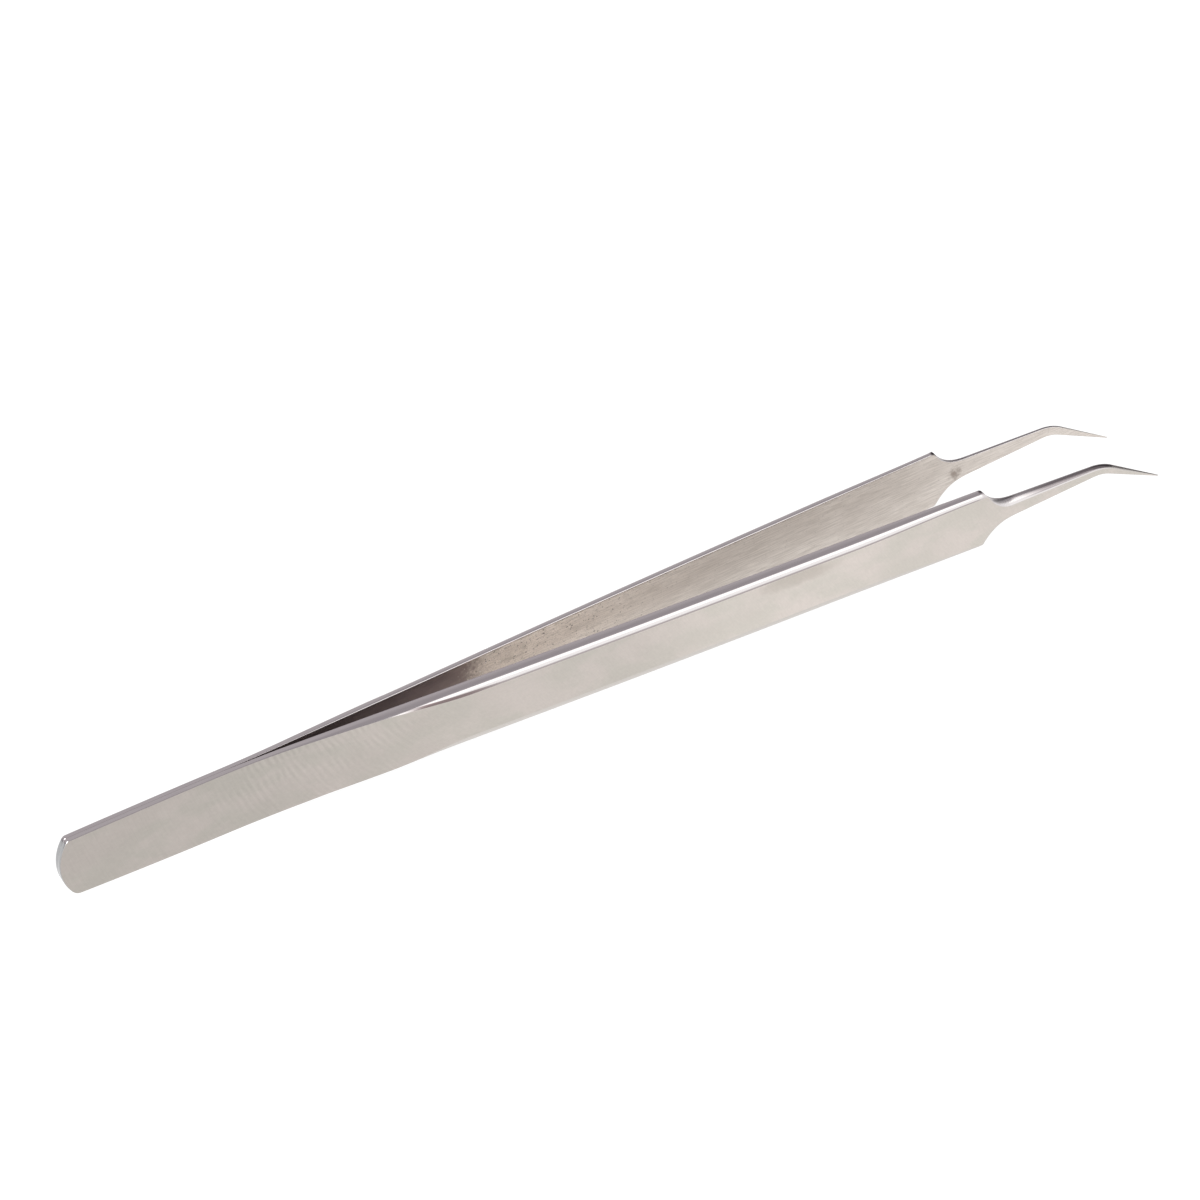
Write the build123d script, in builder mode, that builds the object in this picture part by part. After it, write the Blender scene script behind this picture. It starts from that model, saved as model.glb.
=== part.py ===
from build123d import *
import os
from math import cos, pi, radians, sin, tan

# Bent fine-point tweezers: two mirrored strips of spring steel, spot welded together in the heel.
# +X runs from the heel to the tips, +Y across the gap, +Z up along the width of the blades.
# The origin is at the middle of the length, on the surface that the tips rest on.
# In the text below, x is the distance from the heel's end, and z the height above the blade's
# middle line. Each arm is cut at FLEX_X, where its thin part flexes: behind the cut it belongs
# to the heel, and in front of the cut it swings as one piece.

# ---- driving dimensions, mm ----
LENGTH = 140.0              # heel end to tips

HEEL_TOP = 3.42             # heights of the heel's long edges: at its two corners,
HEEL_LOW = 3.86             # and below the middle line the ground edge stands out a little more
HEEL_MIDDLE_TOP = 3.67
HEEL_MIDDLE_LOW = 4.05
LAP_HALF_WIDTH = 3.82       # half the blade's width where the strips start to thicken
BLADE_HALF_WIDTH = 3.98     # at the grip
SHOULDER_HALF_WIDTH = 3.92  # where the blade ends
WIDEN_END = 40.0            # x where the blade has its full width

HEEL_THICKNESS = 0.57       # one strip in the heel
GRIP_THICKNESS = 1.17       # one strip in the grip
SHOULDER_THICKNESS = 0.86   # one strip at the shoulder
THICKEN_START = 19.5        # x where the strip starts to thicken
THICKEN_END = 45.0          # x where the strip has its full thickness
FRONT_TAPER_START = 95.0    # x where it starts to thin again, towards the shoulder

HEEL_EDGE_RADIUS = 0.18     # on the outer edges all round the heel
FULL_ROUND = 0.95           # the largest edge radius, as a share of the thickness
ROUND_END = 58.0            # x where the outer long edges are fully rounded
SHOULDER_LOW_ROUND = 0.55   # the lower outer edge's radius at the shoulder, as a share of the upper one's
NECK_LOW_ROUND = 0.25       # and from the neck to the tip

LAP_END = 17.5              # the strips lie face to face up to here
PARTING = 9.0               # length over which they curve apart
FLEX_X = 30.0               # where each arm flexes
SHOULDER_X = 112.9          # end of the blade, start of the neck
LOW_SHOULDER_X = 113.4      # the blade's lower edge runs on to here
SHOULDER_GAP = 4.31         # middle plane to inner face at the shoulder
TIP_GAP = 4.74              # middle plane to inner face at the tips
ARM_BOW = 0.20              # how far an arm bows outward between lap and shoulder

NECK_HALF_HEIGHT = 1.55     # of the neck's taper, carried back to the shoulder
NECK_END_HALF_HEIGHT = 0.72
NECK_END_THICKNESS = 0.56
NECK_RISE = 0.10            # how much the neck's middle line climbs up to the bend
HOLLOW_LENGTH = 5.6         # length of the shoulder's concave curve
HOLLOW_POWER = 2.7          # how sharply that curve turns

BEND_CORNER_X = 130.95      # where the middle lines of the neck and the point cross
BEND_ANGLE = 27.8           # degrees, downward
BEND_RADIUS = 6.0
POINT_HALF_HEIGHT = 0.54    # at the front end of the bend
POINT_THICKNESS = 0.50
TIP_HALF_HEIGHT = 0.06
TIP_THICKNESS = 0.10

HEEL_END_BULGE = 1.25       # how far the heel's end stands out beyond its corners
HEEL_END_Z = -0.22          # height of its rearmost point
HEEL_TOP_CORNER_RADIUS = 0.45
HEEL_LOW_CORNER_RADIUS = 0.8
HEEL_MIDDLE_X = 10.0
NUGGET_RADIUS = 1.6
NUGGET_THICKNESS = 0.30
NUGGET_SPACING = 5.0
NUGGET_COUNT = 3

# ---- worked out from the dimensions above ----
BEND = radians(BEND_ANGLE)
BEND_START_X = BEND_CORNER_X - BEND_RADIUS * tan(BEND / 2)
TIP_X = LENGTH - TIP_HALF_HEIGHT * sin(BEND)
TIP_Z = NECK_RISE - (TIP_X - BEND_CORNER_X) * tan(BEND)
AXIS_HEIGHT = TIP_HALF_HEIGHT * cos(BEND) - TIP_Z
GAP_ROOT_X = LAP_END + PARTING / 2
GAP_SLOPE = SHOULDER_GAP / (SHOULDER_X - GAP_ROOT_X)


def smooth(value, start, end):
    """0 before start, 1 after end, and an S-curve between them."""
    share = min(max((value - start) / (end - start), 0.0), 1.0)
    return share * share * (3 - 2 * share)


def side_point(x, z):
    """A point of the side view: x from the heel's end, z from the blade's middle line."""
    return (x - LENGTH / 2, AXIS_HEIGHT + z)


def half_gap(x):
    """Distance from the middle plane to an arm's inner face."""
    if x >= SHOULDER_X:
        share = (x - SHOULDER_X) / (LENGTH - SHOULDER_X)
        return SHOULDER_GAP + (TIP_GAP - SHOULDER_GAP) * share
    if x <= LAP_END + PARTING:
        return GAP_SLOPE * max(x - LAP_END, 0.0) ** 2 / (2 * PARTING)
    share = (x - GAP_ROOT_X) / (SHOULDER_X - GAP_ROOT_X)
    return SHOULDER_GAP * share + ARM_BOW * sin(pi * share) ** 2


def blade_half_width(x):
    narrow = 1 - min((x - THICKEN_START) / (WIDEN_END - THICKEN_START), 1.0)
    front = smooth(x, FRONT_TAPER_START, SHOULDER_X)
    lost_behind = (BLADE_HALF_WIDTH - LAP_HALF_WIDTH) * narrow**2
    lost_in_front = (BLADE_HALF_WIDTH - SHOULDER_HALF_WIDTH) * front
    return BLADE_HALF_WIDTH - lost_behind - lost_in_front


def blade_thickness(x):
    gained = (GRIP_THICKNESS - HEEL_THICKNESS) * smooth(x, THICKEN_START, THICKEN_END)
    lost = (GRIP_THICKNESS - SHOULDER_THICKNESS) * smooth(x, FRONT_TAPER_START, SHOULDER_X)
    return HEEL_THICKNESS + gained - lost


def neck_height(x, hollow_start):
    """The shoulder falls away in a concave curve, and the neck tapers evenly to the bend."""
    along = (x - SHOULDER_X) / (BEND_START_X - SHOULDER_X)
    taper = NECK_HALF_HEIGHT + (NECK_END_HALF_HEIGHT - NECK_HALF_HEIGHT) * along
    hollow = 1 - min(max((x - hollow_start) / HOLLOW_LENGTH, 0.0), 1.0)
    return taper + (SHOULDER_HALF_WIDTH - NECK_HALF_HEIGHT) * hollow**HOLLOW_POWER


def cross_section(x, z, turn, thickness, top, low, top_round, low_round):
    """The left arm's D-shaped section, flat inside, with its plane turned down by an angle."""
    where = Plane(
        origin=(x - LENGTH / 2, half_gap(x), AXIS_HEIGHT + z),
        x_dir=(0, 1, 0),
        z_dir=(cos(turn), 0, -sin(turn)),
    )
    with BuildSketch() as profile:
        with BuildLine():
            Polyline((0, -low), (thickness, -low), (thickness, top), (0, top), (0, -low))
        make_face()
        for corner, rounding in (((thickness, top), top_round), ((thickness, -low), low_round)):
            fillet(profile.vertices().sort_by_distance(corner)[0], rounding)
    return where, profile.sketch


def blade_section(x):
    thickness = blade_thickness(x)
    share = min((x - FLEX_X) / (ROUND_END - FLEX_X), 1.0)
    rounding = HEEL_EDGE_RADIUS + (FULL_ROUND * thickness - HEEL_EDGE_RADIUS) * share
    low_share = 1 - (1 - SHOULDER_LOW_ROUND) * smooth(x, FRONT_TAPER_START, SHOULDER_X)
    width = blade_half_width(x)
    return cross_section(x, 0, 0, thickness, width, width, rounding, low_share * rounding)


def round_section(x, z, turn, thickness, top, low, low_share=NECK_LOW_ROUND):
    """A section whose outer side is rounded at the top as far as it goes."""
    rounding = FULL_ROUND * min(thickness, top)
    return cross_section(x, z, turn, thickness, top, low, rounding, low_share * rounding)


def neck_section(x):
    along = (x - SHOULDER_X) / (BEND_START_X - SHOULDER_X)
    thickness = SHOULDER_THICKNESS + (NECK_END_THICKNESS - SHOULDER_THICKNESS) * along
    sharpened = smooth(x, LOW_SHOULDER_X, LOW_SHOULDER_X + HOLLOW_LENGTH)
    low_share = SHOULDER_LOW_ROUND + (NECK_LOW_ROUND - SHOULDER_LOW_ROUND) * sharpened
    top = neck_height(x, SHOULDER_X)
    low = neck_height(x, LOW_SHOULDER_X)
    return round_section(x, NECK_RISE * along, 0, thickness, top, low, low_share)


def bend_section(share):
    """A section of the bend; share is 0 at its start and 1 at its end."""
    turn = BEND * share
    x = BEND_START_X + BEND_RADIUS * sin(turn)
    z = NECK_RISE - BEND_RADIUS * (1 - cos(turn))
    thickness = NECK_END_THICKNESS + (POINT_THICKNESS - NECK_END_THICKNESS) * share
    half_height = NECK_END_HALF_HEIGHT + (POINT_HALF_HEIGHT - NECK_END_HALF_HEIGHT) * share
    return round_section(x, z, turn, thickness, half_height, half_height)


BLADE = [blade_section(x) for x in (FLEX_X, 38, 48, 58, 70, 82, 95, 101, 107, SHOULDER_X)]
SHOULDER = [neck_section(SHOULDER_X), neck_section(LOW_SHOULDER_X)]
NECK = [neck_section(x) for x in (LOW_SHOULDER_X, 114, 114.8, 115.8, 117.2, 119, 122, 126)]
BEND_AND_NECK = NECK + [bend_section(share) for share in (0, 0.33, 0.67, 1)]
TIP = round_section(TIP_X, TIP_Z, BEND, TIP_THICKNESS, TIP_HALF_HEIGHT, TIP_HALF_HEIGHT)
POINT = [bend_section(1), TIP]

# ---- heel halves: the lap with its weld pockets, and the short stretch where the strips part ----
with BuildPart() as left_heel:
    with BuildSketch(Plane.XZ) as side_outline:
        with BuildLine():
            top_corner = side_point(HEEL_END_BULGE, HEEL_TOP)
            low_corner = side_point(HEEL_END_BULGE, -HEEL_LOW)
            top_front = side_point(FLEX_X, blade_half_width(FLEX_X))
            low_front = side_point(FLEX_X, -blade_half_width(FLEX_X))
            ThreePointArc(top_corner, side_point(0, HEEL_END_Z), low_corner)
            ThreePointArc(low_corner, side_point(HEEL_MIDDLE_X, -HEEL_MIDDLE_LOW), low_front)
            Line(low_front, top_front)
            ThreePointArc(top_front, side_point(HEEL_MIDDLE_X, HEEL_MIDDLE_TOP), top_corner)
        make_face()
        fillet(side_outline.vertices().sort_by_distance(top_corner)[0], HEEL_TOP_CORNER_RADIUS)
        fillet(side_outline.vertices().sort_by_distance(low_corner)[0], HEEL_LOW_CORNER_RADIUS)
    extrude(amount=-2 * GRIP_THICKNESS)
    with BuildSketch(Plane.XY):
        with BuildLine():
            heel_x = -LENGTH / 2
            lap_x = heel_x + LAP_END
            flare = [LAP_END, LAP_END + PARTING / 2, LAP_END + PARTING, FLEX_X]
            inside = [(heel_x + x, half_gap(x)) for x in flare]
            outside = [(heel_x + x, half_gap(x) + blade_thickness(x)) for x in flare]
            front_direction = (1, GAP_SLOPE)
            Line((heel_x, 0), inside[0])
            Spline(inside, tangents=[(1, 0), front_direction])
            Line(inside[-1], outside[-1])
            Spline(outside, tangents=[(1, 0), (1, 2 * GAP_SLOPE)])
            Polyline(outside[0], (heel_x, HEEL_THICKNESS), (heel_x, 0))
        make_face()
    extrude(amount=LENGTH / 2, mode=Mode.INTERSECT)
    outer_faces = left_heel.faces().filter_by(lambda face: face.normal_at().Y > 0.9)
    fillet(outer_faces.edges().filter_by(Axis.Z, reverse=True), HEEL_EDGE_RADIUS)
    with BuildSketch(Plane.XZ):
        with Locations(side_point(HEEL_MIDDLE_X, 0)):
            with GridLocations(NUGGET_SPACING, 1, NUGGET_COUNT, 1):
                Circle(NUGGET_RADIUS)
    extrude(amount=-NUGGET_THICKNESS / 2, mode=Mode.SUBTRACT)

with BuildPart() as right_heel:
    mirror(left_heel.part, about=Plane.XZ)

# ---- spot welds: steel fused across the lap, one group of separate nuggets ----
with BuildPart() as weld_nuggets:
    with BuildSketch(Plane.XZ):
        with Locations(side_point(HEEL_MIDDLE_X, 0)):
            with GridLocations(NUGGET_SPACING, 1, NUGGET_COUNT, 1):
                Circle(NUGGET_RADIUS)
    extrude(amount=NUGGET_THICKNESS / 2, both=True)

# ---- arms: blade, shoulder and neck, bend and needle point ----
with BuildPart() as left_arm:
    for sections in (BLADE, SHOULDER, BEND_AND_NECK, POINT):
        for where, profile in sections:
            with BuildSketch(where):
                add(profile)
        loft()

with BuildPart() as right_arm:
    mirror(left_arm.part, about=Plane.XZ)

pieces = {
    "left_heel": left_heel,
    "right_heel": right_heel,
    "weld_nuggets": weld_nuggets,
    "left_arm": left_arm,
    "right_arm": right_arm,
}
os.makedirs("parts", exist_ok=True)
for name, piece in pieces.items():
    piece.part.label = name
    export_step(piece.part, f"parts/{name}.step")
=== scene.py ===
"""Bent fine-point tweezers: the finished steel, and a plain studio around it."""
from math import cos, pi, radians, sin, sqrt, tan

import bmesh
import bpy
from mathutils import Matrix, Vector


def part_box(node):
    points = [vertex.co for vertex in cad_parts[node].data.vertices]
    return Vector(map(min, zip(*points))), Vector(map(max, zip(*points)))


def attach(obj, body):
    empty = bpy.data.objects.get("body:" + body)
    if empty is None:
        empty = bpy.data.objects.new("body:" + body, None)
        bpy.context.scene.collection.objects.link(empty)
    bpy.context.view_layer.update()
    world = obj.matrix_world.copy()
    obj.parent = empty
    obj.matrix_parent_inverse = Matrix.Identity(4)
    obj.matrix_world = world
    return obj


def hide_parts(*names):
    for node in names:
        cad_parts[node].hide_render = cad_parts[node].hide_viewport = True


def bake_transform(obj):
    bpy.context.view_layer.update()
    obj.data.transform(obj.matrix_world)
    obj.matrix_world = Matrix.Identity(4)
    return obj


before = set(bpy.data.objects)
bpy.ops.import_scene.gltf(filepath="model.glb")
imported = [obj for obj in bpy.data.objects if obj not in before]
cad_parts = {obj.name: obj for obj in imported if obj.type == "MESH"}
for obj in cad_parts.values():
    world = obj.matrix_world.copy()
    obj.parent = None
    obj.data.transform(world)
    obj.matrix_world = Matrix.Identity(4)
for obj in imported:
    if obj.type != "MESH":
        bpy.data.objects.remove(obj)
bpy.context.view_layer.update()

MM = 0.001

# ---- places read from the frame, mm ----
heel_low, heel_high = (Vector(painted_corner_dark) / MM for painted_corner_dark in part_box("left_heel"))
arm_low, arm_high = (Vector(painted_corner_dark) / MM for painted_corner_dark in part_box("left_arm"))
HEEL_X = heel_low.x
LENGTH = arm_high.x - heel_low.x
FLEX_X = heel_high.x - heel_low.x

# ---- the strip, mm: x from the heel's end, z from the blade's middle line ----
HEEL_TOP = 3.42
HEEL_LOW = 3.86
HEEL_MIDDLE_TOP = 3.67
HEEL_MIDDLE_LOW = 4.05
LAP_HALF_WIDTH = 3.82
BLADE_HALF_WIDTH = 3.98
SHOULDER_HALF_WIDTH = 3.92
HEEL_END_BULGE = 1.25
HEEL_END_Z = -0.22
HEEL_CORNER_X = 2.2
HEEL_MIDDLE_X = 10.0
WIDEN_END = 40.0
HEEL_THICKNESS = 0.57
GRIP_THICKNESS = 1.17
SHOULDER_THICKNESS = 0.86
THICKEN_START = 19.5
THICKEN_END = 45.0
FRONT_TAPER_START = 95.0
LAP_END = 17.5
PARTING = 9.0
SHOULDER_X = 112.9
LOW_SHOULDER_X = 113.4
SHOULDER_GAP = 4.31
TIP_GAP = 4.74
ARM_BOW = 0.20
NECK_HALF_HEIGHT = 1.55
NECK_END_HALF_HEIGHT = 0.72
NECK_END_THICKNESS = 0.56
NECK_RISE = 0.10
HOLLOW_LENGTH = 5.6
HOLLOW_POWER = 3.1
CORNER_RUN = 0.42           # the worn front corners of the blade
CORNER_DROP = 0.22
BEND_CORNER_X = 130.95
BEND = radians(27.8)
BEND_RADIUS = 6.0
POINT_HALF_HEIGHT = 0.54
POINT_THICKNESS = 0.50
TIP_HALF_HEIGHT = 0.06
TIP_THICKNESS = 0.10
BEND_START_X = BEND_CORNER_X - BEND_RADIUS * tan(BEND / 2)
TIP_X = LENGTH - TIP_HALF_HEIGHT * sin(BEND)
TIP_Z = NECK_RISE - (TIP_X - BEND_CORNER_X) * tan(BEND)
AXIS_Z = arm_low.z + TIP_HALF_HEIGHT * cos(BEND) - TIP_Z
GAP_ROOT_X = LAP_END + PARTING / 2
GAP_SLOPE = SHOULDER_GAP / (SHOULDER_X - GAP_ROOT_X)

# ---- edges: the outer long edges are domed, and fully rounded from the grip on ----
HEEL_BREAK = 0.05           # the broken inner corner, in the lap and along the lower edges
ARM_BREAK = 0.30            # and along the arms' upper edges
LARGEST_BREAK = 0.25        # but never more than this share of the strip
EDGE_FLAT = 0.01            # left between the inner break and the rounding, so no points coincide
DOME_DEPTH = 1.38           # how far the arms' upper dome reaches down, as a share of its width
HEEL_EDGE_RADIUS = 0.16
FULL_ROUND = 0.95
DOME_END = 43.0             # x where the dome has its full radius
DOME_ANGLE = radians(50)    # how far the dome turns before it meets the outer face
BEVEL_START = 36.5          # x where the rounding starts to run on into the face
BEVEL_END = 47.5
SHOULDER_LOW_ROUND = 0.55   # the lower outer edge's radius, as a share of the upper one's
NECK_LOW_ROUND = 0.25
NECK_BEVEL = 0.60           # how flat the neck's rounding is ground: 0 for a plain round
NECK_ROUND_DEPTH = 0.78     # how far the neck's rounding reaches down its outer side, as a share
NECK_ROUND_START = 113.4    # x where the neck's own rounding starts, inside the hollow
NECK_ROUND_FULL = 117.5     # and where it is full
CORNER_BLEND = 0.30         # softness of the heel's upper corner
LOW_CORNER_BLEND = 0.55     # and of its lower one

# ---- mesh density ----
BREAK_STEPS = 4
ROUND_STEPS = 12
FINE_STEPS = 8              # steps of the walk along a bevelled rounding, for each point kept
FACE_ROWS = 22
END_STEPS = 20              # sections in the heel's rounded end
BEND_STEPS = 12
POINT_STEPS = 30
CLOSE_STEP = 0.1            # mm between the sections where the shoulder turns
SIDE_OFFSET = 40.0          # keeps the two strips' surface patterns apart
SHARP_ANGLE = radians(24)
OUTER_SLOT, EDGE_SLOT, INNER_SLOT = range(3)

NUGGET_RADIUS = 1.6
NUGGET_DEPTH = 0.15
LENS_RADIUS = 1.45
LENS_DEPTH = 0.12
NUGGET_SPACING = 5.0
LENS_RINGS = 6
LENS_SPOKES = 32


def smooth(value, start, end):
    share = min(max((value - start) / (end - start), 0.0), 1.0)
    return share * share * (3 - 2 * share)


def half_gap(x):
    if x >= SHOULDER_X:
        share = (x - SHOULDER_X) / (LENGTH - SHOULDER_X)
        return SHOULDER_GAP + (TIP_GAP - SHOULDER_GAP) * share
    if x <= LAP_END + PARTING:
        return GAP_SLOPE * max(x - LAP_END, 0.0) ** 2 / (2 * PARTING)
    share = (x - GAP_ROOT_X) / (SHOULDER_X - GAP_ROOT_X)
    return SHOULDER_GAP * share + ARM_BOW * sin(pi * share) ** 2


def blade_thickness(x):
    gained = (GRIP_THICKNESS - HEEL_THICKNESS) * smooth(x, THICKEN_START, THICKEN_END)
    lost = (GRIP_THICKNESS - SHOULDER_THICKNESS) * smooth(x, FRONT_TAPER_START, SHOULDER_X)
    return HEEL_THICKNESS + gained - lost


def front_half_width(x):
    narrow = 1 - min((x - THICKEN_START) / (WIDEN_END - THICKEN_START), 1.0)
    front = smooth(x, FRONT_TAPER_START, SHOULDER_X)
    lost_behind = (BLADE_HALF_WIDTH - LAP_HALF_WIDTH) * narrow**2
    lost_in_front = (BLADE_HALF_WIDTH - SHOULDER_HALF_WIDTH) * front
    return BLADE_HALF_WIDTH - lost_behind - lost_in_front


def end_arc(corner_height):
    """Radius of the heel's end, through its rearmost point and one corner."""
    return (corner_height**2 + HEEL_END_BULGE**2) / (2 * HEEL_END_BULGE)


def heel_edge(x, corner_height, middle_height, end_height, softness):
    """Height of the heel's bowed long edge, running into its rounded end."""
    knots = (
        (HEEL_END_BULGE, corner_height),
        (HEEL_MIDDLE_X, middle_height),
        (FLEX_X, front_half_width(FLEX_X)),
    )
    long_edge = 0.0
    for x_here, height in knots:
        term = height
        for x_other, _ in knots:
            if x_other != x_here:
                term *= (x - x_other) / (x_here - x_other)
        long_edge += term
    radius = end_arc(corner_height - end_height)
    if x >= radius:
        return long_edge
    arc = end_height + sqrt(max(radius**2 - (radius - x) ** 2, 0.0))
    near = max(0.0, 1 - abs(arc - long_edge) / softness)
    return min(arc, long_edge) - near**2 * softness / 4


def blade_edges(x):
    """Heights of the upper and the lower long edge."""
    if x >= FLEX_X:
        return front_half_width(x), -front_half_width(x)
    top = heel_edge(x, HEEL_TOP, HEEL_MIDDLE_TOP, HEEL_END_Z, CORNER_BLEND)
    low = heel_edge(x, HEEL_LOW, HEEL_MIDDLE_LOW, -HEEL_END_Z, LOW_CORNER_BLEND)
    return top, -low


def neck_height(x, hollow_start):
    along = (x - SHOULDER_X) / (BEND_START_X - SHOULDER_X)
    taper = NECK_HALF_HEIGHT + (NECK_END_HALF_HEIGHT - NECK_HALF_HEIGHT) * along
    worn = max((x - hollow_start) / CORNER_RUN, 0.0)
    if worn < 1:
        return SHOULDER_HALF_WIDTH - CORNER_DROP * worn**2
    hollow = 1 - min((x - hollow_start - CORNER_RUN) / (HOLLOW_LENGTH - CORNER_RUN), 1.0)
    return taper + (SHOULDER_HALF_WIDTH - CORNER_DROP - NECK_HALF_HEIGHT) * hollow**HOLLOW_POWER


def spread(start, end, step):
    """Evenly spaced values from start up to, but not including, end."""
    count = max(1, round((end - start) / step))
    return [start + (end - start) * i / count for i in range(count)]


def stations():
    """Sections along the strip: x, middle z, downward turn, top, low, thickness, lower share."""
    rows = []
    blade_x = [HEEL_END_BULGE * (i / END_STEPS) ** 2 for i in range(END_STEPS)]
    stretches = (
        (HEEL_END_BULGE, HEEL_CORNER_X, 0.07),
        (HEEL_CORNER_X, THICKEN_START, 0.4),
        (THICKEN_START, BEVEL_START + 2, 0.8),
        (BEVEL_START + 2, BEVEL_END + 4.5, 0.4),
        (BEVEL_END + 4.5, SHOULDER_X - 6.9, 1.25),
        (SHOULDER_X - 6.9, SHOULDER_X - 1.0, 0.5),
        (SHOULDER_X - 1.0, SHOULDER_X, CLOSE_STEP),
    )
    for start, end, step in stretches:
        blade_x += spread(start, end, step)
    for x in blade_x:
        top, low = blade_edges(x)
        share = 1 - (1 - SHOULDER_LOW_ROUND) * smooth(x, FRONT_TAPER_START, SHOULDER_X)
        rows.append((x, 0.0, 0.0, top, low, blade_thickness(x), share))
    neck_x = spread(SHOULDER_X, SHOULDER_X + 3.6, CLOSE_STEP)
    neck_x += spread(SHOULDER_X + 3.6, SHOULDER_X + 6.6, 0.2)
    neck_x += spread(SHOULDER_X + 6.6, BEND_START_X, 0.45)
    for x in neck_x:
        along = (x - SHOULDER_X) / (BEND_START_X - SHOULDER_X)
        thickness = SHOULDER_THICKNESS + (NECK_END_THICKNESS - SHOULDER_THICKNESS) * along
        sharpened = smooth(x, LOW_SHOULDER_X, LOW_SHOULDER_X + HOLLOW_LENGTH)
        share = SHOULDER_LOW_ROUND + (NECK_LOW_ROUND - SHOULDER_LOW_ROUND) * sharpened
        top = neck_height(x, SHOULDER_X)
        low = -neck_height(x, LOW_SHOULDER_X)
        rows.append((x, NECK_RISE * along, 0.0, top, low, thickness, share))
    for i in range(BEND_STEPS + 1):
        share = i / BEND_STEPS
        turn = BEND * share
        x = BEND_START_X + BEND_RADIUS * sin(turn)
        z = NECK_RISE - BEND_RADIUS * (1 - cos(turn))
        half_height = NECK_END_HALF_HEIGHT + (POINT_HALF_HEIGHT - NECK_END_HALF_HEIGHT) * share
        thickness = NECK_END_THICKNESS + (POINT_THICKNESS - NECK_END_THICKNESS) * share
        rows.append((x, z, turn, half_height, -half_height, thickness, NECK_LOW_ROUND))
    start_x, start_z = rows[-1][:2]
    for i in range(1, POINT_STEPS + 1):
        share = i / POINT_STEPS
        x = start_x + (TIP_X - start_x) * share
        z = start_z + (TIP_Z - start_z) * share
        half_height = POINT_HALF_HEIGHT + (TIP_HALF_HEIGHT - POINT_HALF_HEIGHT) * share
        thickness = POINT_THICKNESS + (TIP_THICKNESS - POINT_THICKNESS) * share
        rows.append((x, z, BEND, half_height, -half_height, thickness, NECK_LOW_ROUND))
    return rows


def round_points(angle, bevel):
    """Unit rounding that turns by angle; bevel above 0 keeps the turning to its two ends."""
    if bevel == 0:
        turns = [angle * i / ROUND_STEPS for i in range(ROUND_STEPS + 1)]
        return [(1 - cos(turn), sin(turn)) for turn in turns]
    walk = [(0.0, 0.0)]
    for i in range(ROUND_STEPS * FINE_STEPS):
        share = (i + 0.5) / (ROUND_STEPS * FINE_STEPS)
        turn = angle * (share + bevel * sin(2 * pi * share) / (2 * pi))
        walk.append((walk[-1][0] + sin(turn), walk[-1][1] + cos(turn)))
    inset_end, outward_end = walk[-1]
    return [(inset / inset_end, outward / outward_end) for inset, outward in walk[::FINE_STEPS]]


def edge_profile(x, height, thickness, low_share, upper):
    """(inward, outward) points across the edge, from the inner face to the outer face."""
    room = min(thickness, height) if x > SHOULDER_X else thickness
    full = FULL_ROUND * room
    grown = smooth(x, LAP_END, DOME_END)
    broken = HEEL_BREAK + (ARM_BREAK - HEEL_BREAK) * grown if upper else HEEL_BREAK
    small = min(broken, LARGEST_BREAK * room)
    angle = DOME_ANGLE + (pi / 2 - DOME_ANGLE) * smooth(x, BEVEL_START, BEVEL_END)
    radius = HEEL_EDGE_RADIUS + (full - HEEL_EDGE_RADIUS) * grown
    radius = min(radius, full, (thickness - small - EDGE_FLAT) / sin(angle))
    if not upper:
        radius *= low_share
    depth = radius
    if upper:
        depth *= 1 + (DOME_DEPTH - 1) * grown
    neck_depth = 0.0
    cut_away = 0.0
    bevel = 0.0
    if upper and x > SHOULDER_X:
        # the hollow is cut through the blade's dome, then the neck gets a rounding of its own
        cut_away = SHOULDER_HALF_WIDTH - height
        begun = smooth(x, NECK_ROUND_START, NECK_ROUND_FULL)
        neck_depth = NECK_ROUND_DEPTH * height * begun
        bevel = NECK_BEVEL * begun
    flat = thickness - radius * sin(angle)
    points = []
    for i in range(BREAK_STEPS + 1):
        turn = pi / 2 * i / BREAK_STEPS
        points.append((small * (1 - sin(turn)), small * (1 - cos(turn))))
    for inset, outward in round_points(angle, bevel):
        reach = max(depth * inset - cut_away, neck_depth * inset)
        points.append((reach, flat + radius * outward))
    return points


def nugget_hollow(x, z):
    """Depth of the lens-shaped weld hollows in the lap face."""
    for i in (-1, 0, 1):
        away = sqrt((x - HEEL_MIDDLE_X - i * NUGGET_SPACING) ** 2 + z**2)
        if away < NUGGET_RADIUS:
            return NUGGET_DEPTH * (1 - (away / NUGGET_RADIUS) ** 2)
    return 0.0


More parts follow.
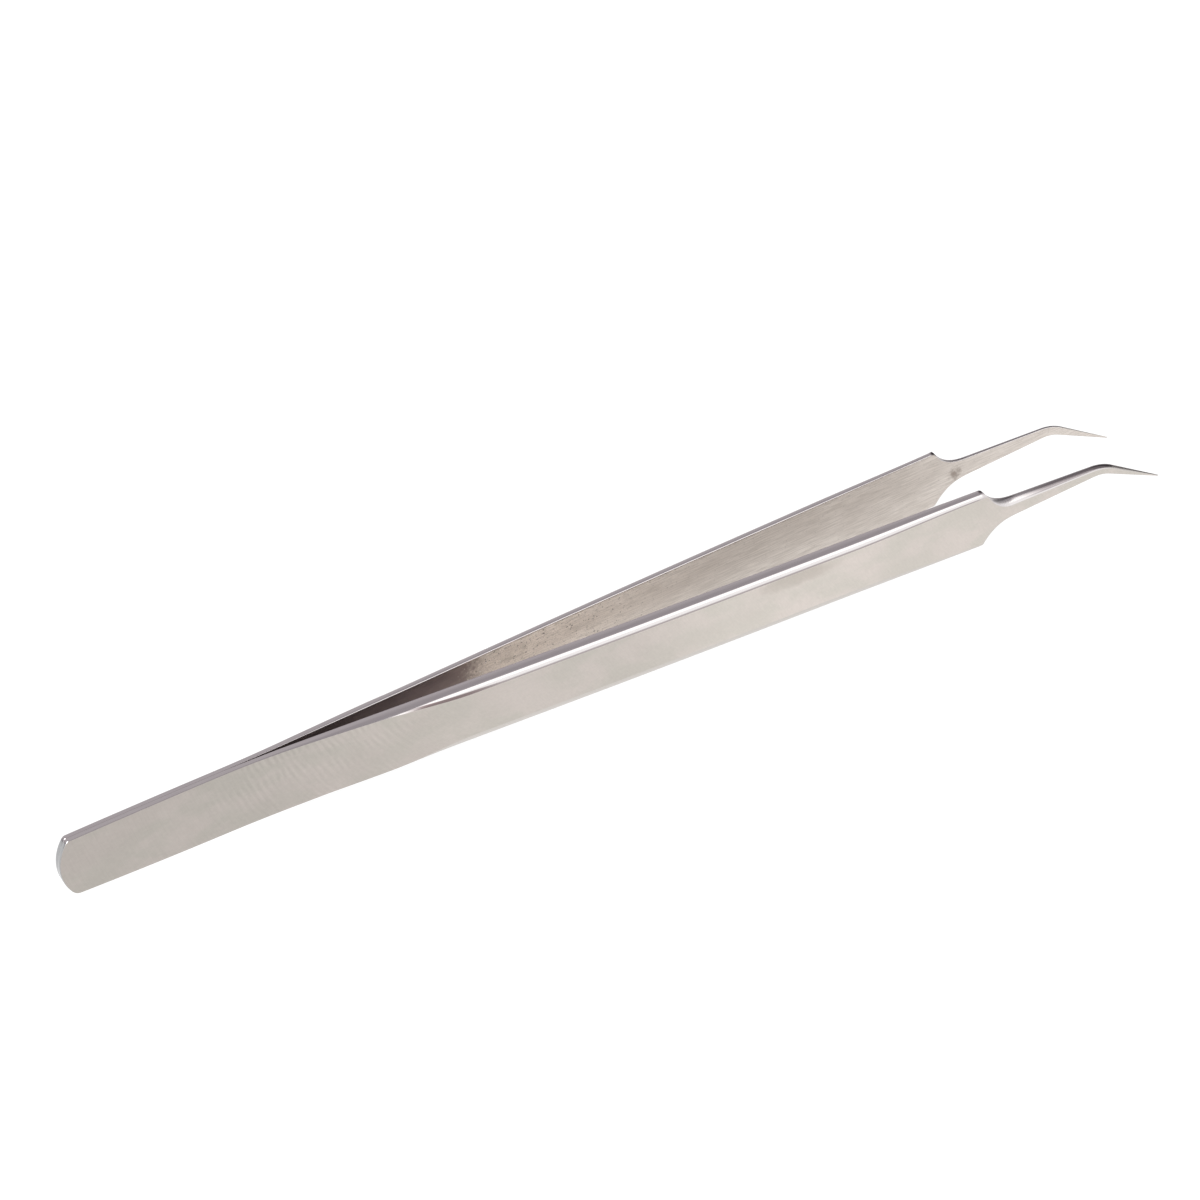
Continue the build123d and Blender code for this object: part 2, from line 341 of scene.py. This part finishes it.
def strip_mesh(name, side):
    """One whole strip, heel to tip; side is 1 for the left one and -1 for the right one."""
    rows = stations()
    tops = [(x + top * sin(turn), z + top * cos(turn)) for x, z, turn, top, low, t, s in rows]
    lows = [(x + low * sin(turn), z + low * cos(turn)) for x, z, turn, top, low, t, s in rows]
    outline = list(reversed(lows)) + tops[1:]
    count = len(outline)
    middle = len(rows) - 1

    inward = []
    for i in range(count):
        before = outline[max(i - 1, 0)]
        after = outline[min(i + 1, count - 1)]
        along = Vector((after[0] - before[0], after[1] - before[1])).normalized()
        # how far the upper rounding goes straight down instead of square to the edge
        upright = 0.0
        if i > middle:
            x = outline[i][0]
            upright = smooth(x, SHOULDER_X - 1, SHOULDER_X)
            upright *= smooth(x, BEND_START_X, NECK_ROUND_FULL)
        inward.append(Vector((along.y, -along.x)).lerp(Vector((0, -1)), upright).normalized())

    mesh = bmesh.new()
    place_layer = mesh.verts.layers.float_vector.new("place")
    across_layer = mesh.verts.layers.float.new("across")

    def vertex(x, z, outward, across):
        y = side * (half_gap(x) + outward)
        v = mesh.verts.new(((HEEL_X + x) * MM, y * MM, (AXIS_Z + z) * MM))
        v[place_layer] = (x, side * SIDE_OFFSET + outward, z)
        v[across_layer] = across
        return v

    edges = []
    for i, (x, z) in enumerate(outline):
        row = rows[abs(i - middle)]
        upper = i >= middle
        height = row[3] if upper else -row[4]
        ring = []
        profile = edge_profile(row[0], height, row[5], row[6], upper)
        for k, (inset, outward) in enumerate(profile):
            px = x + inward[i].x * inset
            pz = z + inward[i].y * inset
            ring.append(vertex(px, pz, outward, k / (len(profile) - 1)))
        edges.append(ring)

    def quad(a, b, c, d, slot):
        corners = []
        for v in (a, b, c, d):
            if v not in corners:
                corners.append(v)
        if len(corners) < 3:
            return
        face = mesh.faces.new(corners if side > 0 else list(reversed(corners)))
        face.material_index = slot
        face.smooth = True

    last = len(edges[0]) - 1
    for i in range(count - 1):
        for k in range(last):
            quad(edges[i][k], edges[i + 1][k], edges[i + 1][k + 1], edges[i][k + 1], EDGE_SLOT)

    def fill(index, slot, outer):
        """Rows of faces across the flat between the lower and the upper edge."""
        grid = []
        for j in range(middle + 1):
            low = edges[middle - j][index]
            top = edges[middle + j][index]
            if j == 0:
                grid.append([low] * (FACE_ROWS + 1))
                continue
            line = [low]
            for k in range(1, FACE_ROWS):
                share = k / FACE_ROWS
                x = (low.co.x + (top.co.x - low.co.x) * share) / MM - HEEL_X
                z = (low.co.z + (top.co.z - low.co.z) * share) / MM - AXIS_Z
                outward = rows[j][5] if outer else nugget_hollow(x, z)
                line.append(vertex(x, z, outward, 1.0 if outer else 0.0))
            line.append(top)
            grid.append(line)
        for j in range(middle):
            for k in range(FACE_ROWS):
                a, b = grid[j][k], grid[j][k + 1]
                c, d = grid[j + 1][k + 1], grid[j + 1][k]
                if outer:
                    quad(a, b, c, d, slot)
                else:
                    quad(a, d, c, b, slot)
        return grid

    outer_grid = fill(last, OUTER_SLOT, True)
    inner_grid = fill(0, INNER_SLOT, False)

    # the blunt end of the needle
    rim = edges[0] + outer_grid[-1][1:-1]
    rim += list(reversed(edges[-1])) + list(reversed(inner_grid[-1][1:-1]))
    hub = mesh.verts.new(sum((v.co for v in rim), Vector()) / len(rim))
    hub[place_layer] = rim[0][place_layer]
    for first, second in zip(rim, rim[1:] + rim[:1]):
        wedge = mesh.faces.new((first, second, hub) if side > 0 else (second, first, hub))
        wedge.material_index = EDGE_SLOT
    bmesh.ops.recalc_face_normals(mesh, faces=mesh.faces)

    mesh.normal_update()
    for edge in mesh.edges:
        if len(edge.link_faces) == 2 and edge.calc_face_angle() > SHARP_ANGLE:
            edge.smooth = False
    data = bpy.data.meshes.new(name)
    mesh.to_mesh(data)
    mesh.free()
    piece = bpy.data.objects.new(name, data)
    bpy.context.scene.collection.objects.link(piece)
    return piece


class Surface:
    """One steel surface made of nodes. Places are the mesh's own, in mm: x, side, z."""

    def __init__(self, name):
        self.material = bpy.data.materials.new(name)
        self.material.use_nodes = True
        self.tree = self.material.node_tree
        self.shader = self.tree.nodes["Principled BSDF"]
        self.shader.inputs["Metallic"].default_value = 1
        place = self.node("ShaderNodeAttribute")
        place.attribute_name = "place"
        self.place = place.outputs["Vector"]
        parts = self.node("ShaderNodeSeparateXYZ", self.place)
        self.x, self.y, self.z = parts.outputs
        across = self.node("ShaderNodeAttribute")
        across.attribute_name = "across"
        self.across = across.outputs["Fac"]

    def node(self, kind, *values):
        made = self.tree.nodes.new(kind)
        self.feed(made, dict(enumerate(values)))
        return made

    def feed(self, node, values):
        for key, value in values.items():
            if isinstance(value, bpy.types.NodeSocket):
                self.tree.links.new(value, node.inputs[key])
            else:
                node.inputs[key].default_value = value

    def math(self, operation, *values):
        made = self.node("ShaderNodeMath")
        made.operation = operation
        self.feed(made, dict(enumerate(values)))
        return made.outputs[0]

    def times(self, first, second):
        return self.math("MULTIPLY", first, second)

    def plus(self, first, second):
        return self.math("ADD", first, second)

    def minus(self, first, second):
        return self.math("SUBTRACT", first, second)

    def step(self, value, start, end):
        """0 before start, 1 after end; start may be the larger one."""
        made = self.node("ShaderNodeMapRange")
        made.interpolation_type = "SMOOTHSTEP"
        low, high = (0.0, 1.0) if start < end else (1.0, 0.0)
        self.feed(made, {0: value, 1: min(start, end), 2: max(start, end), 3: low, 4: high})
        return made.outputs[0]

    def scaled(self, along, side, height, source=None):
        made = self.node("ShaderNodeVectorMath")
        made.operation = "MULTIPLY"
        self.feed(made, {0: source or self.place, 1: (along, side, height)})
        return made.outputs[0]

    def noise(self, vector, detail=2.0, roughness=0.5, distortion=0.0):
        made = self.node("ShaderNodeTexNoise")
        values = {"Vector": vector, "Scale": 1.0, "Detail": detail}
        values.update({"Roughness": roughness, "Distortion": distortion})
        self.feed(made, values)
        return made.outputs[0]

    def specks(self, vector, size):
        """1 in the middle of scattered specks, 0 between them."""
        made = self.node("ShaderNodeTexVoronoi")
        self.feed(made, {"Vector": vector, "Scale": 1.0})
        draw = self.node("ShaderNodeSeparateColor", made.outputs["Color"]).outputs[0]
        spot = self.step(made.outputs["Distance"], size, 0.4 * size)
        return self.times(self.step(draw, 0.62, 0.66), spot)

    def vector(self, x, y, z):
        return self.node("ShaderNodeCombineXYZ", x, y, z).outputs[0]

    def brightened(self, colour, level):
        made = self.node("ShaderNodeVectorMath", colour, self.vector(level, level, level))
        made.operation = "MULTIPLY"
        return made.outputs[0]

    def mix(self, share, first, second):
        made = self.node("ShaderNodeMix")
        made.data_type = "RGBA"
        colours = [c if isinstance(c, bpy.types.NodeSocket) else (*c, 1.0) for c in (first, second)]
        self.feed(made, {0: share, 6: colours[0], 7: colours[1]})
        return made.outputs[2]

    def finish(self, colour, roughness, height, relief):
        """relief: real height of the marks in mm for a height value of 1."""
        bump = self.node("ShaderNodeBump")
        self.feed(bump, {"Strength": 1.0, "Distance": relief * MM, "Height": height})
        self.feed(self.shader, {"Base Color": colour, "Roughness": roughness})
        self.feed(self.shader, {"Normal": bump.outputs[0]})
        return self.material


def polar(s, centre_x, centre_z):
    """Distance from a point of the side view, and the direction from it."""
    dx = s.minus(s.x, centre_x)
    dz = s.minus(s.z, centre_z)
    return s.math("SQRT", s.plus(s.times(dx, dx), s.times(dz, dz))), s.math("ARCTAN2", dz, dx)


def outer_face_steel():
    """Satin-ground flat: cloudy tone, wheel ripples behind the grip, fine grinding lines."""
    s = Surface("outer_face_steel")
    cloud = s.step(s.noise(s.scaled(0.16, 1, 0.30), 3.0, 0.6, 0.4), 0.38, 0.64)
    patch = s.step(s.noise(s.scaled(0.07, 1, 0.12), 2.0, 0.5), 0.45, 0.66)
    fleck = s.noise(s.scaled(2.6, 1, 3.4), 2.0, 0.6)

    # grinding lines: arcs round a far wheel behind the grip, slanted strokes in front of it
    radius, angle = polar(s, 58.0, 14.0)
    arcs = s.noise(s.vector(s.times(radius, 9.0), s.times(angle, 12.0), s.y), 2.0, 0.6)
    across_stroke = s.plus(s.times(s.x, 7.0), s.times(s.z, 4.5))
    along_stroke = s.minus(s.times(s.z, 0.7), s.times(s.x, 0.3))
    strokes = s.noise(s.vector(across_stroke, along_stroke, s.y), 2.0, 0.6)
    in_front = s.step(s.x, 44.0, 58.0)
    ground = s.plus(s.times(arcs, s.minus(1.0, in_front)), s.times(strokes, in_front))

    # the wheel's ripples, broken up and mostly along the upper edge
    wobble = s.times(s.noise(s.scaled(0.35, 1, 0.35), 1.0), 0.9)
    wave = s.math("SINE", s.times(s.plus(radius, wobble), 8.8))
    band = s.times(s.step(s.x, 13.0, 24.0), s.step(s.x, 44.0, 34.0))
    broken = s.times(band, s.step(s.noise(s.scaled(0.22, 1, 0.5), 1.0), 0.36, 0.6))
    near_top = s.plus(0.35, s.times(s.step(s.z, -3.0, 2.5), 0.65))
    ripple = s.times(s.times(wave, s.times(broken, near_top)), 0.5)

    tone = s.mix(cloud, (0.580, 0.545, 0.497), (0.634, 0.580, 0.540))
    tone = s.mix(s.times(patch, 0.5), tone, (0.572, 0.523, 0.485))

    # a brown smudge below the right arm's upper edge, in its front half
    smudge_x = s.times(s.minus(s.x, 88.0), 0.16)
    smudge_z = s.times(s.minus(s.z, 2.1), 0.75)
    smudge = s.plus(s.times(smudge_x, smudge_x), s.times(smudge_z, smudge_z))
    smudge = s.plus(smudge, s.times(s.noise(s.scaled(0.6, 1, 0.9), 3.0), 0.8))
    smudge_share = s.times(s.step(smudge, 1.5, 0.4), s.step(s.y, 0.0, -1.0))
    tone = s.mix(s.times(smudge_share, 0.8), tone, (0.48, 0.44, 0.395))

    # painted shade: the face darker from x 82 back towards the heel, and a little darker past x 94
    level = s.minus(1.0, s.times(s.step(s.x, 82.0, 64.0), 0.15))
    level = s.minus(level, s.times(s.step(s.x, 55.0, 15.0), 0.14))
    level = s.minus(level, s.times(s.step(s.x, 94.0, 104.0), 0.04))
    grain = s.plus(0.87, s.times(fleck, 0.13))
    grain = s.plus(grain, s.times(ground, 0.13))
    grain = s.plus(grain, s.times(ripple, 0.11))
    colour = s.brightened(tone, s.times(level, grain))
    height = s.plus(s.times(ground, 0.3), s.times(ripple, 0.45))
    roughness = s.plus(0.30, s.times(cloud, 0.10))
    return s.finish(colour, roughness, height, 0.004)


def edge_steel():
    """Polished edge with faint lengthwise lines and a thin painted shade line where the flat
    begins.
    """
    s = Surface("edge_steel")
    lines = s.noise(s.vector(s.times(s.x, 0.5), s.times(s.across, 22.0), s.y), 2.0)
    cloud = s.noise(s.scaled(0.35, 1, 0.35), 2.0)
    tone = s.mix(lines, (0.70, 0.665, 0.665), (0.80, 0.775, 0.765))

    heel_end = s.step(s.x, 1.25, 0.95)
    tone = s.mix(s.times(heel_end, 0.9), tone, (0.33, 0.335, 0.34))
    # painted shade in the shoulder's hollow, which also gets a duller finish below
    hollow = s.times(s.step(s.x, 112.9, 113.25), s.step(s.x, 118.0, 115.5))
    tone = s.mix(s.times(hollow, 0.25), tone, (0.34, 0.31, 0.32))
    # painted dark reflection on the worn corner where the blade's upper edge meets the hollow
    painted_corner_dark = s.times(s.step(s.x, 112.6, 112.95), s.step(s.x, 113.6, 113.3))
    painted_corner_dark = s.times(painted_corner_dark, s.step(s.across, 0.62, 0.45))
    tone = s.mix(s.times(painted_corner_dark, 0.9), tone, (0.10, 0.085, 0.09))
    # painted dark reflection along the upper part of the neck's rounding
    painted_neck_dark = s.times(s.step(s.x, 118.0, 123.0), s.step(s.across, 0.36, 0.52))
    painted_neck_dark = s.times(painted_neck_dark, s.step(s.across, 0.90, 0.84))
    tone = s.mix(s.times(painted_neck_dark, 0.8), tone, (0.30, 0.265, 0.27))
    neck_flat = s.times(s.step(s.x, 113.0, 117.0), s.step(s.across, 0.94, 1.0))
    tone = s.mix(neck_flat, tone, (0.57, 0.53, 0.50))

    # the painted shade line beside the outer face, broader where the rounding runs on into the face
    early = s.step(s.x, 52.0, 46.0)
    crease_shade_start = s.minus(0.885, s.times(early, 0.07))
    crease_shade = s.step(s.minus(s.across, crease_shade_start), 0.0, 0.06)
    crease_shade = s.times(crease_shade, s.times(s.step(s.x, 38.5, 42.0), s.step(s.x, 114.0, 112.0)))
    crease_shade = s.times(crease_shade, s.step(s.z, -0.5, 0.5))
    crease_shade_strength = s.plus(0.62, s.times(early, 0.3))
    colour = s.mix(s.times(crease_shade, crease_shade_strength), tone, (0.17, 0.12, 0.12))

    # the lower edges are satin like the faces
    satin = s.times(s.step(s.z, 0.5, -0.5), s.step(s.x, 0.5, 2.5))
    colour = s.mix(satin, colour, (0.56, 0.53, 0.50))
    roughness = s.plus(0.09, s.times(cloud, 0.06))
    dull = s.math("MAXIMUM", satin, s.times(hollow, 1.6))
    roughness = s.plus(roughness, s.times(dull, 0.18))
    return s.finish(colour, roughness, lines, 0.0008)


def inner_face_steel():
    """Dark and smooth between the arms' roots, the dark partly painted shade; pitted, mottled and
    brushed from the grip on.
    """
    s = Surface("inner_face_steel")
    ragged = s.plus(s.x, s.times(s.noise(s.scaled(1.6, 1, 1.6), 4.0, 0.75), 7.0))
    ragged = s.minus(ragged, s.times(s.z, 0.25))
    worked_and_unshaded = s.step(ragged, 50.6, 54.2)
    cloud = s.step(s.noise(s.scaled(0.13, 1, 0.45), 3.0, 0.6), 0.36, 0.66)
    brushed = s.noise(s.scaled(0.28, 1, 7.0), 3.0, 0.65)
    grit = s.noise(s.scaled(7.0, 1, 7.0), 2.0, 0.6)
    rear = s.step(s.x, 82.0, 58.0)
    toward_top = s.plus(0.35, s.times(s.step(s.z, -1.0, 3.0), 0.65))

    rear_pits = s.step(s.noise(s.scaled(2.0, 1, 2.8), 3.0, 0.65), 0.58, 0.68)
    pits = s.math("MAXIMUM", s.times(rear_pits, toward_top), s.specks(s.scaled(1.7, 1, 1.7), 0.22))
    pits = s.times(pits, s.plus(0.15, s.times(rear, 0.7)))
    bright = s.times(s.specks(s.scaled(2.6, 3, 2.6), 0.34), s.step(s.x, 60.0, 48.0))
    mottle = s.times(s.step(s.noise(s.scaled(0.55, 1, 1.5), 4.0, 0.7), 0.48, 0.66), toward_top)
    grit_share = s.times(s.step(grit, 0.55, 0.35), s.plus(0.10, s.times(rear, 0.35)))
    mottle_share = s.times(mottle, s.plus(0.08, s.times(rear, 0.5)))

    light = s.mix(s.times(cloud, 0.5), (0.68, 0.630, 0.585), (0.80, 0.752, 0.705))
    light = s.mix(s.times(s.step(brushed, 0.58, 0.40), 0.62), light, (0.53, 0.487, 0.445))
    light = s.mix(grit_share, light, (0.40, 0.365, 0.33))
    light = s.mix(pits, light, (0.10, 0.085, 0.08))

    # a small stain at the root of the left arm's neck
    root_distance, _ = polar(s, 116.4, -0.35)
    smear = s.plus(root_distance, s.times(s.noise(s.scaled(1.6, 1, 1.6), 3.0), 2.2))
    stain = s.times(s.step(smear, 2.3, 1.2), s.step(s.y, 0.0, 1.0))
    light = s.mix(s.times(stain, 0.65), light, (0.22, 0.17, 0.14))
    light = s.mix(mottle_share, light, (0.40, 0.365, 0.33))
    # painted light: the steel made brighter from x 86 back towards the smooth part, against the
    # gap's shade
    light = s.brightened(light, s.plus(0.99, s.times(s.step(s.x, 86.0, 56.0), 0.30)))

    # the smooth part between the roots: a darker steel tone, partly painted shade of the narrow gap
    dark = s.mix(cloud, (0.34, 0.285, 0.28), (0.46, 0.39, 0.38))
    colour = s.mix(worked_and_unshaded, dark, light)
    colour = s.mix(s.times(bright, s.step(ragged, 48.0, 54.0)), colour, (0.85, 0.83, 0.80))
    roughness = s.plus(0.42, s.times(worked_and_unshaded, 0.18))
    height = s.plus(s.times(brushed, 0.5), s.minus(grit, s.times(pits, 2.0)))
    return s.finish(colour, roughness, s.times(height, worked_and_unshaded), 0.006)


def weld_steel():
    """Fused steel with a cast, slightly heat-tinted skin."""
    s = Surface("weld_steel")
    grain = s.noise(s.scaled(3.0, 3.0, 3.0), 3.0, 0.6)
    tint = s.noise(s.scaled(0.6, 1, 0.6), 2.0)
    colour = s.mix(s.step(tint, 0.35, 0.65), (0.52, 0.49, 0.47), (0.50, 0.40, 0.30))
    roughness = s.plus(0.35, s.times(grain, 0.2))
    return s.finish(colour, roughness, grain, 0.01)


def weld_mesh(name):
    """Lens-shaped nuggets in a row, closed, each fused into both lap faces."""
    mesh = bmesh.new()
    place_layer = mesh.verts.layers.float_vector.new("place")

    def vertex(x, y, z):
        v = mesh.verts.new(((HEEL_X + x) * MM, y * MM, (AXIS_Z + z) * MM))
        v[place_layer] = (x, y, z)
        return v

    for i in (-1, 0, 1):
        centre = HEEL_MIDDLE_X + i * NUGGET_SPACING
        levels = []
        for j in range(-LENS_RINGS + 1, LENS_RINGS):
            share = abs(j) / LENS_RINGS
            radius = LENS_RADIUS * sqrt(1 - share)
            y = LENS_DEPTH * share * (1 if j > 0 else -1)
            turns = [2 * pi * k / LENS_SPOKES for k in range(LENS_SPOKES)]
            levels.append([vertex(centre + radius * cos(t), y, radius * sin(t)) for t in turns])
        for low, high in zip(levels, levels[1:]):
            for k in range(LENS_SPOKES):
                n = (k + 1) % LENS_SPOKES
                mesh.faces.new((low[k], low[n], high[n], high[k]))
        for level, y in ((levels[0], -LENS_DEPTH), (levels[-1], LENS_DEPTH)):
            pole = vertex(centre, y, 0)
            for k in range(LENS_SPOKES):
                mesh.faces.new((level[k], level[(k + 1) % LENS_SPOKES], pole))
    bmesh.ops.recalc_face_normals(mesh, faces=mesh.faces)
    for face in mesh.faces:
        face.smooth = True
    data = bpy.data.meshes.new(name)
    mesh.to_mesh(data)
    mesh.free()
    piece = bpy.data.objects.new(name, data)
    bpy.context.scene.collection.objects.link(piece)
    return piece


outer_steel = outer_face_steel()
edges_steel = edge_steel()
inner_steel = inner_face_steel()

welds = weld_mesh("spot_welds")
welds.data.materials.append(weld_steel())
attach(welds, "heel")
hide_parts("weld_nuggets")

for name, side in (("left_strip", 1), ("right_strip", -1)):
    strip = strip_mesh(name, side)
    for material in (outer_steel, edges_steel, inner_steel):
        strip.data.materials.append(material)
    word = name.split("_")[0]
    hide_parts(f"{word}_heel", f"{word}_arm")
    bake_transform(strip)

# ---- studio: a pale floor, a soft light along the strips, a pale room with one dark side ----
FLOOR_REACH = 3.0           # m
FLOOR_DROP = 0.0001         # keeps the floor from touching the points
FLOOR_TONE = (0.10, 0.10, 0.10, 1)
FLOOR_GLOW = 0.96           # the floor shines by itself, so it stays white with no shadow
FLOOR_ROUGHNESS = 0.9
floor_data = bpy.data.meshes.new("floor")
floor_corners = [(-FLOOR_REACH, -FLOOR_REACH, 0), (FLOOR_REACH, -FLOOR_REACH, 0)]
floor_corners += [(FLOOR_REACH, FLOOR_REACH, 0), (-FLOOR_REACH, FLOOR_REACH, 0)]
floor_data.from_pydata(floor_corners, [], [(0, 1, 2, 3)])
floor = bpy.data.objects.new("floor", floor_data)
bpy.context.scene.collection.objects.link(floor)
floor.location.z = -FLOOR_DROP
paper = bpy.data.materials.new("pale_floor")
paper.use_nodes = True
paper_shader = paper.node_tree.nodes["Principled BSDF"]
paper_shader.inputs["Base Color"].default_value = FLOOR_TONE
paper_shader.inputs["Emission Color"].default_value = (1, 1, 1, 1)
paper_shader.inputs["Emission Strength"].default_value = FLOOR_GLOW
paper_shader.inputs["Roughness"].default_value = FLOOR_ROUGHNESS
floor_data.materials.append(paper)

LIGHT_FROM = Vector((-0.60, -0.27, 0.75))
LIGHT_STRENGTH = 4.2
LIGHT_ANGLE = radians(35)
key_data = bpy.data.lights.new("soft_light", "SUN")
key_data.energy = LIGHT_STRENGTH
key_data.angle = LIGHT_ANGLE
key_light = bpy.data.objects.new("soft_light", key_data)
bpy.context.scene.collection.objects.link(key_light)
key_light.rotation_mode = "QUATERNION"
key_light.rotation_quaternion = LIGHT_FROM.to_track_quat("Z", "Y")

# what the steel mirrors: a grey room above, paler towards the back, pale walls low in front, and
# a dark side past the points. Directions are parts of a unit vector.
UPPER_FRONT = (0.38, 0.355, 0.375)
UPPER_BACK = (0.49, 0.46, 0.48)
PALE_WALLS = (1.6, 1.58, 1.58)
DARK_SIDE = (0.06, 0.056, 0.062)
world = bpy.data.worlds.new("studio")
bpy.context.scene.world = world
world.use_nodes = True
nodes = world.node_tree.nodes
links = world.node_tree.links
nodes.clear()


def world_range(value, start, end, low, high):
    made = nodes.new("ShaderNodeMapRange")
    made.interpolation_type = "SMOOTHSTEP"
    links.new(value, made.inputs[0])
    for index, number in enumerate((start, end, low, high), start=1):
        made.inputs[index].default_value = number
    return made.outputs[0]


def world_mix(share, first, second):
    made = nodes.new("ShaderNodeMix")
    made.data_type = "RGBA"
    links.new(share, made.inputs[0])
    for index, colour in ((6, first), (7, second)):
        if isinstance(colour, tuple):
            made.inputs[index].default_value = (*colour, 1)
        else:
            links.new(colour, made.inputs[index])
    return made.outputs[2]


def world_math(operation, first, second):
    made = nodes.new("ShaderNodeMath")
    made.operation = operation
    links.new(first, made.inputs[0])
    links.new(second, made.inputs[1])
    return made.outputs[0]


coordinate = nodes.new("ShaderNodeTexCoord")
direction = nodes.new("ShaderNodeSeparateXYZ")
links.new(coordinate.outputs["Generated"], direction.inputs[0])
height = direction.outputs["Z"]
along, across = direction.outputs["X"], direction.outputs["Y"]
upper = world_mix(world_range(across, -0.60, 0.60, 0, 1), UPPER_FRONT, UPPER_BACK)
lowered = world_math("ADD", height, world_range(along, 0.54, 0.57, 0, 0.28))
low = world_range(lowered, 0.31, 0.45, 1, 0)
front = world_range(across, -0.30, 0.10, 1, 0)
not_right = world_range(along, 0.64, 0.70, 1, 0)
right_side = world_range(along, 0.570, 0.590, 0, 1)
not_behind = world_range(across, 0.0, 0.30, 1, 0.35)
not_in_front = world_range(across, -0.60, -0.35, 0.15, 1)
dark = world_math("MULTIPLY", right_side, world_math("MULTIPLY", not_behind, not_in_front))
sky = world_mix(dark, upper, DARK_SIDE)
pale = world_math("MULTIPLY", low, world_math("MULTIPLY", front, not_right))
sky = world_mix(pale, sky, PALE_WALLS)
background = nodes.new("ShaderNodeBackground")
links.new(sky, background.inputs["Color"])
output = nodes.new("ShaderNodeOutputWorld")
links.new(background.outputs[0], output.inputs[0])

CAMERA_AZIMUTH = radians(30.19)
CAMERA_ELEVATION = radians(38.03)
CAMERA_ROLL = radians(2.35)
CAMERA_DISTANCE = 326.1     # mm
CAMERA_AIM_X = 64.84        # mm from the heel's end
CAMERA_AIM_Z = 6.17         # mm above the blade's middle line
CAMERA_LENS = 90            # mm
CAMERA_SENSOR = 36
aim = Vector((HEEL_X + CAMERA_AIM_X, 0, AXIS_Z + CAMERA_AIM_Z))
back = Vector((
    -sin(CAMERA_AZIMUTH) * cos(CAMERA_ELEVATION),
    -cos(CAMERA_AZIMUTH) * cos(CAMERA_ELEVATION),
    sin(CAMERA_ELEVATION),
))
level_right = Vector((cos(CAMERA_AZIMUTH), -sin(CAMERA_AZIMUTH), 0))
level_up = back.cross(level_right)
right = level_right * cos(CAMERA_ROLL) - level_up * sin(CAMERA_ROLL)
up = level_right * sin(CAMERA_ROLL) + level_up * cos(CAMERA_ROLL)
camera_data = bpy.data.cameras.new("camera")
camera_data.lens = CAMERA_LENS
camera_data.sensor_width = CAMERA_SENSOR
camera_data.clip_start = 0.01
camera = bpy.data.objects.new("camera", camera_data)
bpy.context.scene.collection.objects.link(camera)
place = Matrix((right, up, back)).transposed().to_4x4()
place.translation = (aim + back * CAMERA_DISTANCE) * MM
camera.matrix_world = place
bpy.context.scene.camera = camera

scene = bpy.context.scene
scene.view_settings.view_transform = "Standard"
scene.view_settings.look = "None"
